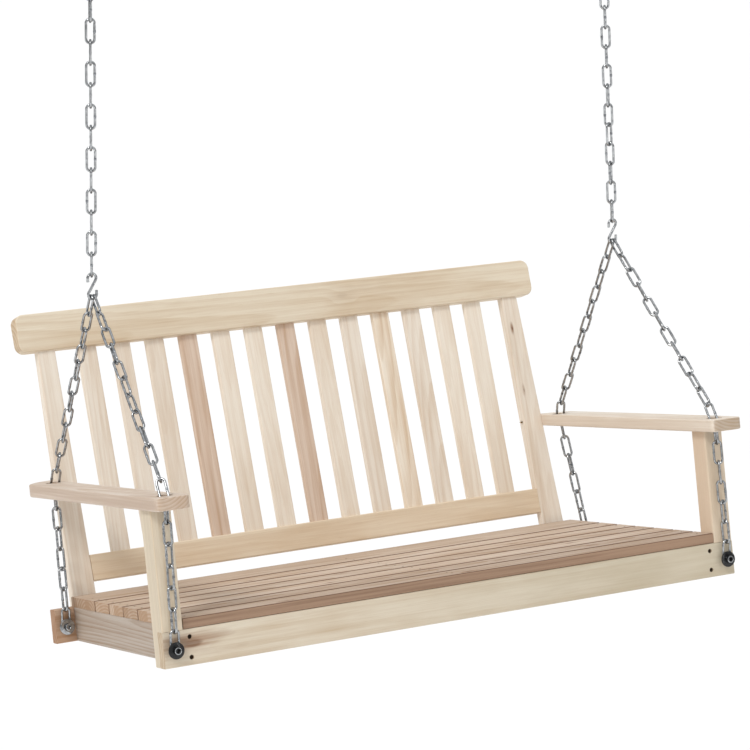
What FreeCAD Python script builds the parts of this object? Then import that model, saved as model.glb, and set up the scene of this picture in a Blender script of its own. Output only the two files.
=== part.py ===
# Porch swing seat: a slatted two-seat garden bench hung from two ceiling hooks by four chain legs.
#
# Frame: millimetres, +Z up, +Y towards the back of the seat, +X to the right as seen from the front.
# The origin is midway between the shanks of the two ceiling hooks, at the ceiling plane.
#
# The bench is laid out in its own bench frame: x from its middle, y back from the front face of the
# apron, z up from the underside of the apron. It hangs tipped back by bench_tilt, so that its centre
# of mass lies straight below the S-hooks.

import FreeCAD, Part
import math
import os
import Sketcher

os.makedirs("parts", exist_ok=True)

V = FreeCAD.Vector
Placement = FreeCAD.Placement
Rotation = FreeCAD.Rotation

doc = FreeCAD.newDocument("porch_swing")

# ------------------------------------------------------------------------------------------------
# Driving dimensions
# ------------------------------------------------------------------------------------------------

DIMENSIONS = [
    # seat frame
    ("apron_length", 1180), ("rail_height", 64), ("rail_thickness", 22), ("arris_radius", 2.5),
    ("rear_rail_front", 520), ("post_width", 40), ("post_depth", 44), ("arm_underside", 278),
    # seat slats
    ("slat_thickness", 19), ("seat_slat_width", 65), ("seat_slat_gap", 4), ("rear_slat_width", 118),
    ("slat_end_gap", 1),
    # armrests
    ("arm_thickness", 23), ("arm_inner_edge", 535), ("arm_outer_edge", 600), ("arm_front", 58),
    ("arm_back", 607), ("arm_front_corner", 12), ("arm_back_corner", 60), ("chain_hole_radius", 15),
    # back panel, measured up the slope of the stiles' front face
    ("back_foot", 529.7), ("back_lean", 10.33), ("stile_thickness", 20), ("stile_inner_edge", 493),
    ("stile_foot_width", 50.5), ("stile_taper", 15.5), ("stile_foot_cut", 6),
    ("top_rail_length", 1132), ("top_rail_bottom", 555.6), ("top_rail_height", 73.5),
    ("top_rail_thickness", 29), ("top_rail_proud", 5.8), ("top_rail_corner", 17),
    ("bottom_rail_bottom", 105.9), ("bottom_rail_height", 50.6), ("bottom_rail_thickness", 24),
    ("back_slat_width", 38), ("back_slat_thickness", 12), ("back_slat_setback", 5),
    ("back_slat_pitch", 70.9), ("slat_socket", 12), ("socket_clearance", 0.2),
    ("tenon_length", 35), ("tenon_width", 30),
    # chain
    ("wire_diameter", 4.5), ("chain_pitch", 38), ("link_width", 19.5), ("link_gap", 0.6),
    ("upper_links", 15),
    # ceiling hooks and S-hooks
    ("hook_wire", 8), ("hook_radius", 15), ("hook_neck", 6), ("hook_drop", 50), ("hook_mouth", 35),
    ("hook_screw", 60), ("hook_point", 6), ("hook_point_radius", 0.4), ("hook_collar", 10),
    ("hook_collar_thickness", 2), ("ceiling_spacing", 1058), ("s_hook_wire", 5), ("s_hook_reach", 46),
    ("s_hook_radius", 8), ("s_hook_tip", 7), ("s_hook_spacing", 1098.8),
    # bolts that hold the chain legs
    ("bolt_height", 31), ("bolt_offset", 571), ("bolt_radius", 4), ("bolt_head_radius", 6.5),
    ("bolt_head_height", 8), ("bolt_socket_flats", 6), ("bolt_socket_depth", 4), ("link_standoff", 5.2),
    ("washer_radius", 15), ("washer_thickness", 2.5), ("washer_standoff", 9.9), ("nut_flats", 13),
    ("nut_height", 6.5), ("nut_washer_radius", 8), ("nut_washer_thickness", 1.6), ("thread_end", 2),
    ("first_link_lean", 9.3),
    # chain holes in the armrests, and where the legs bend above them, in the bench frame
    ("front_hole_x", 565.5), ("front_hole_y", -16.5), ("rear_hole_x", 555.5), ("rear_hole_y", 543.5),
    ("front_bend_x", 564.6), ("front_bend_y", 0), ("rear_bend_x", 552.7), ("rear_bend_y", 529),
    ("leg_side_step", 2.5),
    # screws, nails and dowels
    ("screw_radius", 2.2), ("screw_length", 60), ("screw_head_radius", 4.2), ("screw_head_height", 3),
    ("screw_recess", 3), ("frame_screw_low", 14), ("frame_screw_high", 50), ("stile_screw_low", 22),
    ("stile_screw_high", 46), ("nail_radius", 1.1), ("nail_length", 40), ("nail_head_radius", 2.2),
    ("nail_head_height", 1), ("nail_offset", 6), ("nail_margin", 16), ("arm_screw_radius", 3),
    ("arm_screw_length", 81), ("arm_screw_head_radius", 5.2),
    ("dowel_radius", 5), ("dowel_length", 50), ("arm_dowel_front", 12), ("arm_dowel_rear", 32),
    ("arm_dowel_rise", 15), ("rail_dowel_edge", 14), ("rail_dowel_shift", 5), ("middle_dowel_depth", 14),
    # running past a face or an end, so that a cutter leaves no skin behind
    ("overrun", 1), ("bore_clearance", 0.1),
    # attitude of the hanging bench
    ("bench_tilt", 9.55),
]

sheet = doc.addObject("Spreadsheet::Sheet", "Dimensions")
for row, (alias, number) in enumerate(DIMENSIONS, start=1):
    sheet.set("A%d" % row, alias)
    sheet.set("B%d" % row, str(number))
    sheet.setAlias("B%d" % row, alias)
doc.recompute()


def dim(alias):
    """Value of a driving dimension."""
    return float(sheet.get(alias))


def value(expression):
    """Value of an expression over the driving dimensions."""
    result = sheet.evalExpression(expression)
    return float(getattr(result, "Value", result))


def bind(thing, **sizes):
    """Bind properties of an object to expressions over the sheet."""
    for name, expression in sizes.items():
        thing.setExpression(name, expression)


def D(alias):
    return "Dimensions." + alias


# ------------------------------------------------------------------------------------------------
# Chain geometry
# ------------------------------------------------------------------------------------------------

SIDES = {"left": -1, "right": 1}
PITCH = dim("chain_pitch")
WIRE = dim("wire_diameter")
OVERRUN = dim("overrun")
# A leg has one link on its bolt, a run of links up to the hole in the armrest, one link through the
# hole, and a run of links from there to the S-hook.
LINKS_BELOW_ARM = 6
LINKS_ABOVE_ARM = 11

# How far each chain's links are turned from a plain alternation of flat and edge-on links, in degrees,
# at some of its links. The top link hangs square to its hook, and the bottom one nearly square to its
# S-hook.
UPPER_TWIST = {
    "left": ((0, 0), (3, 22), (14, 22)),
    "right": ((0, 0), (3, 28), (7, 28), (10, 64), (14, 24)),
}
# The link on the bolt lies flat on the wood, so every leg starts a quarter turn from its other end.
LEG_TWIST = {
    ("front", "left"): ((1, -90), (4, -72), (8, -31), (10, -31), (16, -100), (19, -180)),
    ("front", "right"): ((1, -90), (5, -30), (8, -8), (13, 58), (16, 58), (19, 0)),
    ("rear", "left"): ((1, -90), (4, -60), (8, -20), (19, 0)),
    ("rear", "right"): ((1, -90), (4, -60), (8, -15), (19, 0)),
}


def knee(start, end, first, second, pole):
    """Corner of a triangle whose two other corners and two sides are known, on the pole's side."""
    span = end - start
    reach = span.Length
    along = (first ** 2 - second ** 2 + reach ** 2) / (2 * reach)
    height = math.sqrt(first ** 2 - along ** 2)
    u = V(span).normalize()
    w = (pole - u * pole.dot(u)).normalize()
    return start + u * along + w * height


def saddle():
    """Distance from an S-hook's lower bend to the inside of a leg's top link, which rides up beside
    the other leg's link."""
    bend = dim("s_hook_radius")
    room = bend - dim("s_hook_wire") / 2 - WIRE / 2
    rise = bend - math.sqrt(room ** 2 - dim("leg_side_step") ** 2)
    return rise - WIRE / 2


def leg_start(side, wood_y):
    """Bolt centre, first link's lower inside end and the joint above the first link."""
    centre = V(side * dim("bolt_offset"), wood_y - dim("link_standoff"), dim("bolt_height"))
    lean = math.radians(dim("first_link_lean"))
    up = V(0, -math.sin(lean), math.cos(lean))
    low = centre - up * dim("bolt_radius")
    return low, low + up * PITCH


def climb(joint, side, place, count):
    """Joint that a straight run of links reaches above the given place."""
    run = count * PITCH
    x = side * dim(place + "_x")
    y = dim(place + "_y")
    rise = math.sqrt(run ** 2 - (x - joint.x) ** 2 - (y - joint.y) ** 2)
    return V(x, y, joint.z + rise)


LEGS = {}
S_HOOK_IN_BENCH = {}
for side_name, side in SIDES.items():
    ends = {}
    for place, wood_y in (("front", 0), ("rear", dim("rear_rail_front"))):
        low, joint = leg_start(side, wood_y)
        hole = climb(joint, side, place + "_hole", LINKS_BELOW_ARM)
        ends[place] = (low, joint, hole, climb(hole, side, place + "_bend", 1))
    span = LINKS_ABOVE_ARM * PITCH - saddle()
    mean_x = side * (dim("front_bend_x") + dim("rear_bend_x")) / 2
    inward = side * dim("s_hook_spacing") / 2 - mean_x
    half = (ends["rear"][3] - ends["front"][3]).Length / 2
    pole = V(inward / math.sqrt(span ** 2 - half ** 2), 0, 1)
    top = knee(ends["front"][3], ends["rear"][3], span, span, pole)
    S_HOOK_IN_BENCH[side_name] = top
    for place in ends:
        step = dim("leg_side_step") * (1 if place == "front" else -1)
        LEGS[place, side_name] = ends[place] + (top + V(step, 0, 0),)

# Heights below the ceiling, in the hanging frame.
lean_x = (dim("s_hook_spacing") - dim("ceiling_spacing")) / 2
upper_run = dim("upper_links") * PITCH - dim("hook_wire") / 2 - dim("s_hook_wire") / 2
s_hook_top_z = -dim("hook_drop") - math.sqrt(upper_run ** 2 - lean_x ** 2)
s_hook_low_z = s_hook_top_z - dim("s_hook_reach")

turn = Placement(V(0, 0, 0), Rotation(V(1, 0, 0), -dim("bench_tilt")))
pivot = turn.multVec(V(0, S_HOOK_IN_BENCH["right"].y, S_HOOK_IN_BENCH["right"].z))
BENCH = Placement(V(0, -pivot.y, s_hook_low_z - pivot.z), turn.Rotation)

ALONG_X = Rotation(V(0, 1, 0), V(0, 0, 1), V(1, 0, 0), "XYZ")
ALONG_Y = Rotation(V(0, 0, 1), V(1, 0, 0), V(0, 1, 0), "XYZ")
ALONG_Z = Rotation()


def in_bench(x, y, z, rotation=ALONG_Z):
    """Placement of a piece laid out in the bench frame."""
    return BENCH.multiply(Placement(V(x, y, z), rotation))


def on_back(x, behind, up, rotation=ALONG_Z):
    """Placement on the back panel: behind the stiles' front face, and up along its slope."""
    foot = Placement(V(0, dim("back_foot"), 0), Rotation(V(1, 0, 0), -dim("back_lean")))
    return BENCH.multiply(foot).multiply(Placement(V(x, behind, up), rotation))


# ------------------------------------------------------------------------------------------------
# Boards and cutters
# ------------------------------------------------------------------------------------------------

NODES = {}
CUTTERS = {}


def plane(body, role):
    return next(p for p in body.Origin.OriginFeatures if p.Role == role)


def outline(body, name, corners, sizes=()):
    """Closed sketch of straight sides on the body's XY plane; sizes are (kind, side, expression)."""
    sketch = body.newObject("Sketcher::SketchObject", name)
    sketch.AttachmentSupport = (plane(body, "XY_Plane"), [""])
    sketch.MapMode = "FlatFace"
    count = len(corners)
    for i in range(count):
        start = V(corners[i][0], corners[i][1], 0)
        end = V(corners[(i + 1) % count][0], corners[(i + 1) % count][1], 0)
        sketch.addGeometry(Part.LineSegment(start, end), False)
    for i in range(count):
        sketch.addConstraint(Sketcher.Constraint("Coincident", i, 2, (i + 1) % count, 1))
    for kind, item, expression in sizes:
        if kind in ("Horizontal", "Vertical"):
            sketch.addConstraint(Sketcher.Constraint(kind, item))
        else:
            index = sketch.addConstraint(Sketcher.Constraint(kind, item, 1, item, 2, value(expression)))
            sketch.setExpression("Constraints[%d]" % index, expression)
    return sketch


def rectangle(body, name, width, depth):
    """Rectangle from the body's origin, width along x and depth along y."""
    w, d = value(width), value(depth)
    sizes = [("Horizontal", 0, ""), ("Vertical", 1, ""), ("Horizontal", 2, ""), ("Vertical", 3, ""),
             ("DistanceX", 0, width), ("DistanceY", 1, depth)]
    sketch = outline(body, name, [(0, 0), (w, 0), (w, d), (0, d)], sizes)
    sketch.addConstraint(Sketcher.Constraint("Coincident", 0, 1, -1, 1))
    return sketch


def pad(body, name, sketch, length):
    feature = body.newObject("PartDesign::Pad", name)
    feature.Profile = sketch
    feature.setExpression("Length", length)
    doc.recompute()
    return feature


def rounded(body, name, base, wanted, radius):
    """Round the edges of the base that the test accepts."""
    edges = ["Edge%d" % (i + 1) for i, edge in enumerate(base.Shape.Edges) if wanted(edge)]
    feature = body.newObject("PartDesign::Fillet", name)
    feature.Base = (base, edges)
    feature.setExpression("Radius", radius)
    doc.recompute()
    return feature


def upright(edge):
    """The edge runs along the body's z axis."""
    a, b = edge.Vertexes[0].Point, edge.Vertexes[-1].Point
    return abs(a.x - b.x) < 0.01 and abs(a.y - b.y) < 0.01 and abs(a.z - b.z) > 0.01


def board(name, width, depth, length, placement):
    """Straight board with rounded long edges: section width by depth, padded along its length."""
    body = doc.addObject("PartDesign::Body", name + "_board")
    section = rectangle(body, name + "_section", width, depth)
    blank = pad(body, name + "_length", section, length)
    rounded(body, name + "_arris", blank, upright, D("arris_radius"))
    body.Placement = placement
    NODES[name] = body
    return body


def cut_away(names, tool):
    """Remember a cutter for each of the named boards."""
    for name in names:
        CUTTERS.setdefault(name, []).append(tool)


def cutter_box(label, length, width, height, placement):
    box = doc.addObject("Part::Box", label)
    bind(box, Length=length, Width=width, Height=height)
    box.Placement = placement
    return box


def towards(direction):
    """Rotation that turns +Z to the direction."""
    return Rotation(V(0, 0, 1), direction)


def bore(label, names, start, direction, radius, length):
    """Round hole in the named boards, from a start point in the bench frame."""
    tool = doc.addObject("Part::Cylinder", label)
    bind(tool, Radius=radius, Height=length)
    tool.Placement = in_bench(start.x, start.y, start.z, towards(direction))
    cut_away(names, tool)
    return tool


def seat_frame():
    """Apron, rear rail, side rails and the middle rail that carries the slats."""
    half = dim("apron_length") / 2
    t = dim("rail_thickness")
    rear = dim("rear_rail_front")
    board("front_apron", D("rail_thickness"), D("rail_height"), D("apron_length"),
          in_bench(-half, 0, 0, ALONG_X))
    board("rear_rail", D("rail_thickness"), D("rail_height"), D("apron_length"),
          in_bench(-half, rear, 0, ALONG_X))
    run = D("rear_rail_front") + " - " + D("rail_thickness")
    outer = half - dim("post_width")
    for name, x in (("side_rail_left", -outer), ("seat_middle_rail", -t / 2), ("side_rail_right", outer - t)):
        board(name, D("rail_height"), D("rail_thickness"), run, in_bench(x, t, 0, ALONG_Y))


def arm_posts():
    """Front posts, half-lapped behind the ends of the apron."""
    half = dim("apron_length") / 2
    for side_name, side in SIDES.items():
        name = "arm_post_" + side_name
        x = half - dim("post_width") if side > 0 else -half
        board(name, D("post_width"), D("post_depth"), D("arm_underside"), in_bench(x, 0, 0))
        lap = cutter_box(name + "_lap", D("post_width"), D("rail_thickness"), D("rail_height"),
                         in_bench(x, 0, 0))
        cut_away([name], lap)


SEAT_SLATS = 7


def seat_slats():
    """Slats across the seat; the rear one is the wide one."""
    half = dim("apron_length") / 2 - dim("post_width") - dim("slat_end_gap")
    step = dim("seat_slat_width") + dim("seat_slat_gap")
    length = "%s - 2 * (%s + %s)" % (D("apron_length"), D("post_width"), D("slat_end_gap"))
    for i in range(SEAT_SLATS):
        width = D("rear_slat_width") if i == SEAT_SLATS - 1 else D("seat_slat_width")
        board("seat_slat_%d" % (i + 1), width, D("slat_thickness"), length,
              in_bench(-half, i * step, dim("rail_height"), ALONG_X))


def armrests():
    """Armrests over the posts and outside the stiles, with a hole for each chain leg."""
    front, back = dim("arm_front"), dim("arm_back")
    inner, outer = dim("arm_inner_edge"), dim("arm_outer_edge")
    width = "%s - %s" % (D("arm_outer_edge"), D("arm_inner_edge"))
    for side_name, side in SIDES.items():
        name = "armrest_" + side_name
        body = doc.addObject("PartDesign::Body", name + "_board")
        section = rectangle(body, name + "_outline", width, "%s + %s" % (D("arm_front"), D("arm_back")))
        blank = pad(body, name + "_thickness", section, D("arm_thickness"))
        outer_x = outer - inner if side > 0 else 0

        def front_corner(edge):
            return upright(edge) and edge.Vertexes[0].Point.y < 1

        def back_corner(edge):
            point = edge.Vertexes[0].Point
            return upright(edge) and point.y > 1 and abs(point.x - outer_x) < 1

        nose = rounded(body, name + "_nose", blank, front_corner, D("arm_front_corner"))
        tail = rounded(body, name + "_tail", nose, back_corner, D("arm_back_corner"))
        rounded(body, name + "_arris", tail, lambda edge: not upright(edge), D("arris_radius"))
        body.Placement = in_bench(inner if side > 0 else -outer, -front, dim("arm_underside"))
        NODES[name] = body
        for place in ("front", "rear"):
            start = V(side * dim(place + "_hole_x"), dim(place + "_hole_y"), dim("arm_underside") - OVERRUN)
            bore("%s_%s_chain_hole" % (name, place), [name], start, V(0, 0, 1),
                 D("chain_hole_radius"), "%s + 2 * %s" % (D("arm_thickness"), D("overrun")))


def back_panel():
    """Stiles, rails and slats of the back."""
    stiles()
    body = doc.addObject("PartDesign::Body", "back_top_rail_board")
    face = rectangle(body, "back_top_rail_face", D("top_rail_height"), D("top_rail_length"))
    blank = pad(body, "back_top_rail_thickness", face, D("top_rail_thickness"))
    corners = rounded(body, "back_top_rail_corners", blank, upright, D("top_rail_corner"))
    rounded(body, "back_top_rail_arris", corners, lambda edge: not upright(edge), D("arris_radius"))
    corner = (-dim("top_rail_length") / 2, -dim("top_rail_proud"), dim("top_rail_bottom"))
    body.Placement = on_back(*corner, ALONG_Y)
    NODES["back_top_rail"] = body

    inner = dim("stile_inner_edge")
    board("back_bottom_rail", D("bottom_rail_thickness"), D("bottom_rail_height"),
          "2 * " + D("stile_inner_edge"), on_back(-inner, 0, dim("bottom_rail_bottom"), ALONG_X))
    back_slats()


def stiles():
    """Tapered stiles with a tenon in the top rail and a foot cut to lie against the rear rail."""
    tall = "%s + %s" % (D("top_rail_bottom"), D("tenon_length"))
    head = "%s - %s" % (D("stile_foot_width"), D("stile_taper"))
    foot_width, head_width, top = dim("stile_foot_width"), value(head), value(tall)
    for side_name, side in SIDES.items():
        name = "back_stile_" + side_name
        body = doc.addObject("PartDesign::Body", name + "_board")
        # x runs outwards from the inner edge; the outer edge leans in towards the top
        corners = [(0, 0), (side * foot_width, 0), (side * head_width, top), (0, top)]
        sizes = [("Horizontal", 0, ""), ("Horizontal", 2, ""), ("Vertical", 3, ""),
                 ("DistanceX", 0, "%d * %s" % (side, D("stile_foot_width"))),
                 ("DistanceX", 2, "%d * (%s)" % (-side, head)), ("DistanceY", 3, "-(%s)" % tall)]
        sketch = outline(body, name + "_face", corners, sizes)
        sketch.addConstraint(Sketcher.Constraint("Coincident", 0, 1, -1, 1))
        blank = pad(body, name + "_thickness", sketch, D("stile_thickness"))

        def long_edge(edge):
            return abs(edge.Vertexes[0].Point.y - edge.Vertexes[-1].Point.y) > top / 2

        rounded(body, name + "_arris", blank, long_edge, D("arris_radius"))
        standing = Rotation(V(1, 0, 0), V(0, 0, 1), V(0, -1, 0), "XYZ")
        body.Placement = on_back(side * dim("stile_inner_edge"), dim("stile_thickness"), 0, standing)
        NODES[name] = body
        stile_joints(name, side)


def stile_joints(name, side):
    """Foot cut against the rear rail, shoulders that leave the tenon, and the tenon's mortise."""
    inner = dim("stile_inner_edge")
    far = inner + dim("tenon_width")
    # cutters larger than the stile is wide, and the x where they start
    reach = 2 * dim("stile_foot_width")
    x = inner - reach / 4 if side > 0 else -inner - reach * 3 / 4
    size = "2 * " + D("stile_foot_width")
    rail_back = dim("rear_rail_front") + dim("rail_thickness")
    lift = dim("top_rail_bottom")
    behind_tenon = dim("back_slat_setback") + dim("back_slat_thickness")
    cut_away([name], cutter_box(name + "_rail_room", size, D("rear_rail_front"), D("rail_height"),
                                in_bench(x, rail_back - dim("rear_rail_front"), 0)))
    cut_away([name], cutter_box(name + "_foot_cut", size, "2 * " + size, size,
                                in_bench(x, rail_back - reach, dim("stile_foot_cut") - reach)))
    cut_away([name], cutter_box(name + "_cheek_front", size, D("back_slat_setback"), size,
                                on_back(x, 0, lift)))
    cut_away([name], cutter_box(name + "_cheek_rear", size, D("stile_thickness"), size,
                                on_back(x, behind_tenon, lift)))
    cut_away([name], cutter_box(name + "_cheek_outer", size, D("stile_thickness"), size,
                                on_back(far if side > 0 else -far - reach, 0, lift)))
    room = " + 2 * " + D("socket_clearance")
    gap = dim("socket_clearance")
    mortise = cutter_box(name + "_mortise", D("tenon_width") + room, D("back_slat_thickness") + room,
                         "%s + %s + %s" % (D("tenon_length"), D("overrun"), D("socket_clearance")),
                         on_back((inner if side > 0 else -far) - gap, dim("back_slat_setback") - gap,
                                 lift - OVERRUN))
    cut_away(["back_top_rail"], mortise)


BACK_SLATS = 13


def back_slats():
    """Upright slats, let into sockets in both rails."""
    width, thick = dim("back_slat_width"), dim("back_slat_thickness")
    setback, gap, socket = dim("back_slat_setback"), dim("socket_clearance"), dim("slat_socket")
    low = dim("bottom_rail_bottom") + dim("bottom_rail_height")
    high = dim("top_rail_bottom")
    length = "%s - %s - %s + 2 * %s" % (D("top_rail_bottom"), D("bottom_rail_bottom"),
                                        D("bottom_rail_height"), D("slat_socket"))
    wide = D("back_slat_width") + " + 2 * " + D("socket_clearance")
    deep = D("back_slat_thickness") + " + 2 * " + D("socket_clearance")
    tall = "%s + %s + %s" % (D("slat_socket"), D("overrun"), D("socket_clearance"))
    for i in range(BACK_SLATS):
        centre = (i - (BACK_SLATS - 1) / 2) * dim("back_slat_pitch")
        name = "back_slat_%02d" % (i + 1)
        x = centre - width / 2
        board(name, D("back_slat_width"), D("back_slat_thickness"), length,
              on_back(x, setback, low - socket))
        lower = cutter_box(name + "_lower_socket", wide, deep, tall,
                           on_back(x - gap, setback - gap, low - socket - gap))
        upper = cutter_box(name + "_upper_socket", wide, deep, tall,
                           on_back(x - gap, setback - gap, high - OVERRUN))
        cut_away(["back_bottom_rail"], lower)
        cut_away(["back_top_rail"], upper)


# ------------------------------------------------------------------------------------------------
# Fasteners
# ------------------------------------------------------------------------------------------------


def clear(alias):
    """Radius of the hole that clears a shank of the named radius."""
    return "%s + %s" % (D(alias), D("bore_clearance"))


def copies(name, pattern, placements):
    """Node that holds one separate solid of the pattern's shape at each placement."""
    feature = doc.addObject("Part::Feature", name)
    solids = []
    for place in placements:
        solid = pattern.Shape.copy()
        solid.Placement = place.multiply(solid.Placement)
        solids.append(solid)
    feature.Shape = Part.makeCompound(solids) if len(solids) > 1 else solids[0]
    NODES[name] = feature
    return feature


def cylinder(label, radius, height, z=0.0):
    tool = doc.addObject("Part::Cylinder", label)
    bind(tool, Radius=radius, Height=height)
    tool.Placement = Placement(V(0, 0, z), Rotation())
    return tool


def hexagon(label, flats, height, z):
    prism = doc.addObject("Part::Prism", label)
    prism.Polygon = 6
    bind(prism, Circumradius=flats + " / sqrt(3)", Height=height)
    prism.Placement = Placement(V(0, 0, z), Rotation())
    return prism


def fuse(label, pieces):
    joined = doc.addObject("Part::MultiFuse", label)
    joined.Shapes = pieces
    joined.Refine = True
    doc.recompute()
    return joined


def cut(label, base, tool):
    result = doc.addObject("Part::Cut", label)
    result.Base = base
    result.Tool = tool
    doc.recompute()
    return result


def screw_pattern(label, radius, length, head_radius, head_height):
    """Straight shank from z = 0, with its head below it."""
    shank = cylinder(label + "_shank", radius, length)
    head = cylinder(label + "_head", head_radius, head_height, -value(head_height))
    return fuse(label, [shank, head])


def hardware():
    bolts_and_washers()
    frame_screws()
    slat_nails()
    dowels()
    armrest_fixings()


def bolts_and_washers():
    """Socket-head bolts that carry the chain legs, with washers and nuts. Each bolt points along +Y."""
    tail = "%s + %s + %s" % (D("nut_washer_thickness"), D("nut_height"), D("thread_end"))
    z_head = -dim("bolt_head_height")
    inward = towards(V(0, 1, 0))
    z = dim("bolt_height")
    washer_z = -dim("washer_standoff")
    washer = cut("big_washer_pattern",
                 cylinder("big_washer_disc", D("washer_radius"), D("washer_thickness")),
                 cylinder("big_washer_hole", clear("bolt_radius"), D("washer_thickness")))
    small = cut("nut_washer_pattern",
                cylinder("nut_washer_disc", D("nut_washer_radius"), D("nut_washer_thickness")),
                cylinder("nut_washer_hole", clear("bolt_radius"), D("nut_washer_thickness")))
    nut = cut("nut_pattern", hexagon("nut_blank", D("nut_flats"), D("nut_height"), 0),
              cylinder("nut_hole", clear("bolt_radius"), D("nut_height")))
    nut_places, small_places = [], []
    rear = dim("rear_rail_front")
    for place, wood_y, grip in (("front", 0, "post_depth"), ("rear", rear, "rail_thickness")):
        length = "%s + %s + %s + %s" % (D("washer_standoff"), D("washer_thickness"), D(grip), tail)
        shank = cylinder(place + "_bolt_shank", D("bolt_radius"), length)
        head = cylinder(place + "_bolt_head", D("bolt_head_radius"), D("bolt_head_height"), z_head)
        socket = hexagon(place + "_bolt_socket", D("bolt_socket_flats"), D("bolt_socket_depth"), z_head)
        bolt = cut(place + "_bolt_pattern", fuse(place + "_bolt_blank", [shank, head]), socket)
        seats = []
        for side_name, side in SIDES.items():
            x = side * dim("bolt_offset")
            seats.append(in_bench(x, wood_y + washer_z - dim("washer_thickness"), z, inward))
            back = wood_y + dim(grip)
            small_places.append(in_bench(x, back, z, inward))
            nut_places.append(in_bench(x, back + dim("nut_washer_thickness"), z, inward))
            through = ["front_apron", "arm_post_" + side_name] if place == "front" else ["rear_rail"]
            bore("%s_%s_bolt_hole" % (place, side_name), through, V(x, wood_y - OVERRUN, z), V(0, 1, 0),
                 clear("bolt_radius"), "%s + 2 * %s" % (D(grip), D("overrun")))
        copies(place + "_chain_bolts", bolt, seats)
        copies(place + "_chain_washers", washer, seats)
    copies("chain_bolt_nuts", nut, nut_places)
    copies("nut_washers", small, small_places)


def frame_screws():
    """Recessed screws through the apron, the rear rail and the stile feet."""
    screw = screw_pattern("frame_screw_pattern", D("screw_radius"), D("screw_length"),
                          D("screw_head_radius"), D("screw_head_height"))
    short = screw_pattern("stile_screw_pattern", D("screw_radius"), D("screw_length") + " / 2",
                          D("screw_head_radius"), D("screw_head_height"))
    depth = dim("screw_recess") + dim("screw_head_height")
    x = dim("apron_length") / 2 - dim("post_width") - dim("rail_thickness") / 2
    rear_back = dim("rear_rail_front") + dim("rail_thickness")
    foot_x = dim("stile_inner_edge") + dim("stile_foot_width") / 2
    slope = math.tan(math.radians(dim("back_lean")))
    inward, outward = V(0, 1, 0), V(0, -1, 0)
    front, rear, feet = [], [], []
    for side_name, side in SIDES.items():
        rail = "side_rail_" + side_name
        for level in ("low", "high"):
            tag = "%s_%s" % (side_name, level)
            z = dim("frame_screw_" + level)
            front.append(sunk_screw("apron_screw_" + tag, V(side * x, depth, z), inward, "front_apron", rail))
            rear.append(sunk_screw("rear_screw_" + tag, V(side * x, rear_back - depth, z), outward,
                                   "rear_rail", rail))
            z = dim("stile_screw_" + level)
            face = dim("back_foot") + dim("stile_thickness") + z * slope
            feet.append(sunk_screw("stile_screw_" + tag, V(side * foot_x, face - depth, z), outward,
                                   "back_stile_" + side_name, "rear_rail"))
    copies("apron_screws", screw, front)
    copies("rear_rail_screws", screw, rear)
    copies("stile_foot_screws", short, feet)


def sunk_screw(label, start, direction, near, far):
    """Shank hole through both boards and a recess for the head in the near one; the screw's place."""
    bore(label + "_hole", [near, far], start, direction, clear("screw_radius"),
         "%s + %s" % (D("screw_length"), D("overrun")))
    bore(label + "_recess", [near], start, -direction, clear("screw_head_radius"),
         "3 * (%s + %s)" % (D("screw_recess"), D("screw_head_height")))
    return in_bench(start.x, start.y, start.z, towards(direction))


def slat_nails():
    """Nails through the seat slats into the three rails, two at each crossing."""
    nail = screw_pattern("nail_pattern", D("nail_radius"), D("nail_length"), D("nail_head_radius"),
                         D("nail_head_height"))
    # the nails stand clear of the frame screws, which run along the middle of the side rails
    outer = dim("apron_length") / 2 - dim("post_width") - dim("rail_thickness") / 2 - dim("nail_offset")
    rails = (("side_rail_left", -outer), ("seat_middle_rail", 0), ("side_rail_right", outer))
    sunk = dim("rail_height") + dim("slat_thickness") - dim("nail_head_height")
    step = dim("seat_slat_width") + dim("seat_slat_gap")
    margin = dim("nail_margin")
    down = V(0, 0, -1)
    places = []
    for i in range(SEAT_SLATS):
        slat = "seat_slat_%d" % (i + 1)
        # the front slat's first row clears the apron, and the rear slat's rows the rear rail
        first = max(i * step + margin, dim("rail_thickness") + margin / 2)
        last = i * step + dim("seat_slat_width") - margin
        for row, y in (("front", first), ("rear", last)):
            for rail, x in rails:
                tag = "%s_%s_%s" % (slat, rail, row)
                start = V(x, y, sunk)
                bore(tag + "_nail_hole", [slat, rail], start, down, clear("nail_radius"),
                     "%s + %s" % (D("nail_length"), D("overrun")))
                bore(tag + "_nail_recess", [slat], start, -down, clear("nail_head_radius"),
                     "%s + %s" % (D("nail_head_height"), D("overrun")))
                places.append(in_bench(start.x, start.y, start.z, towards(down)))
    copies("seat_slat_nails", nail, places)


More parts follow.
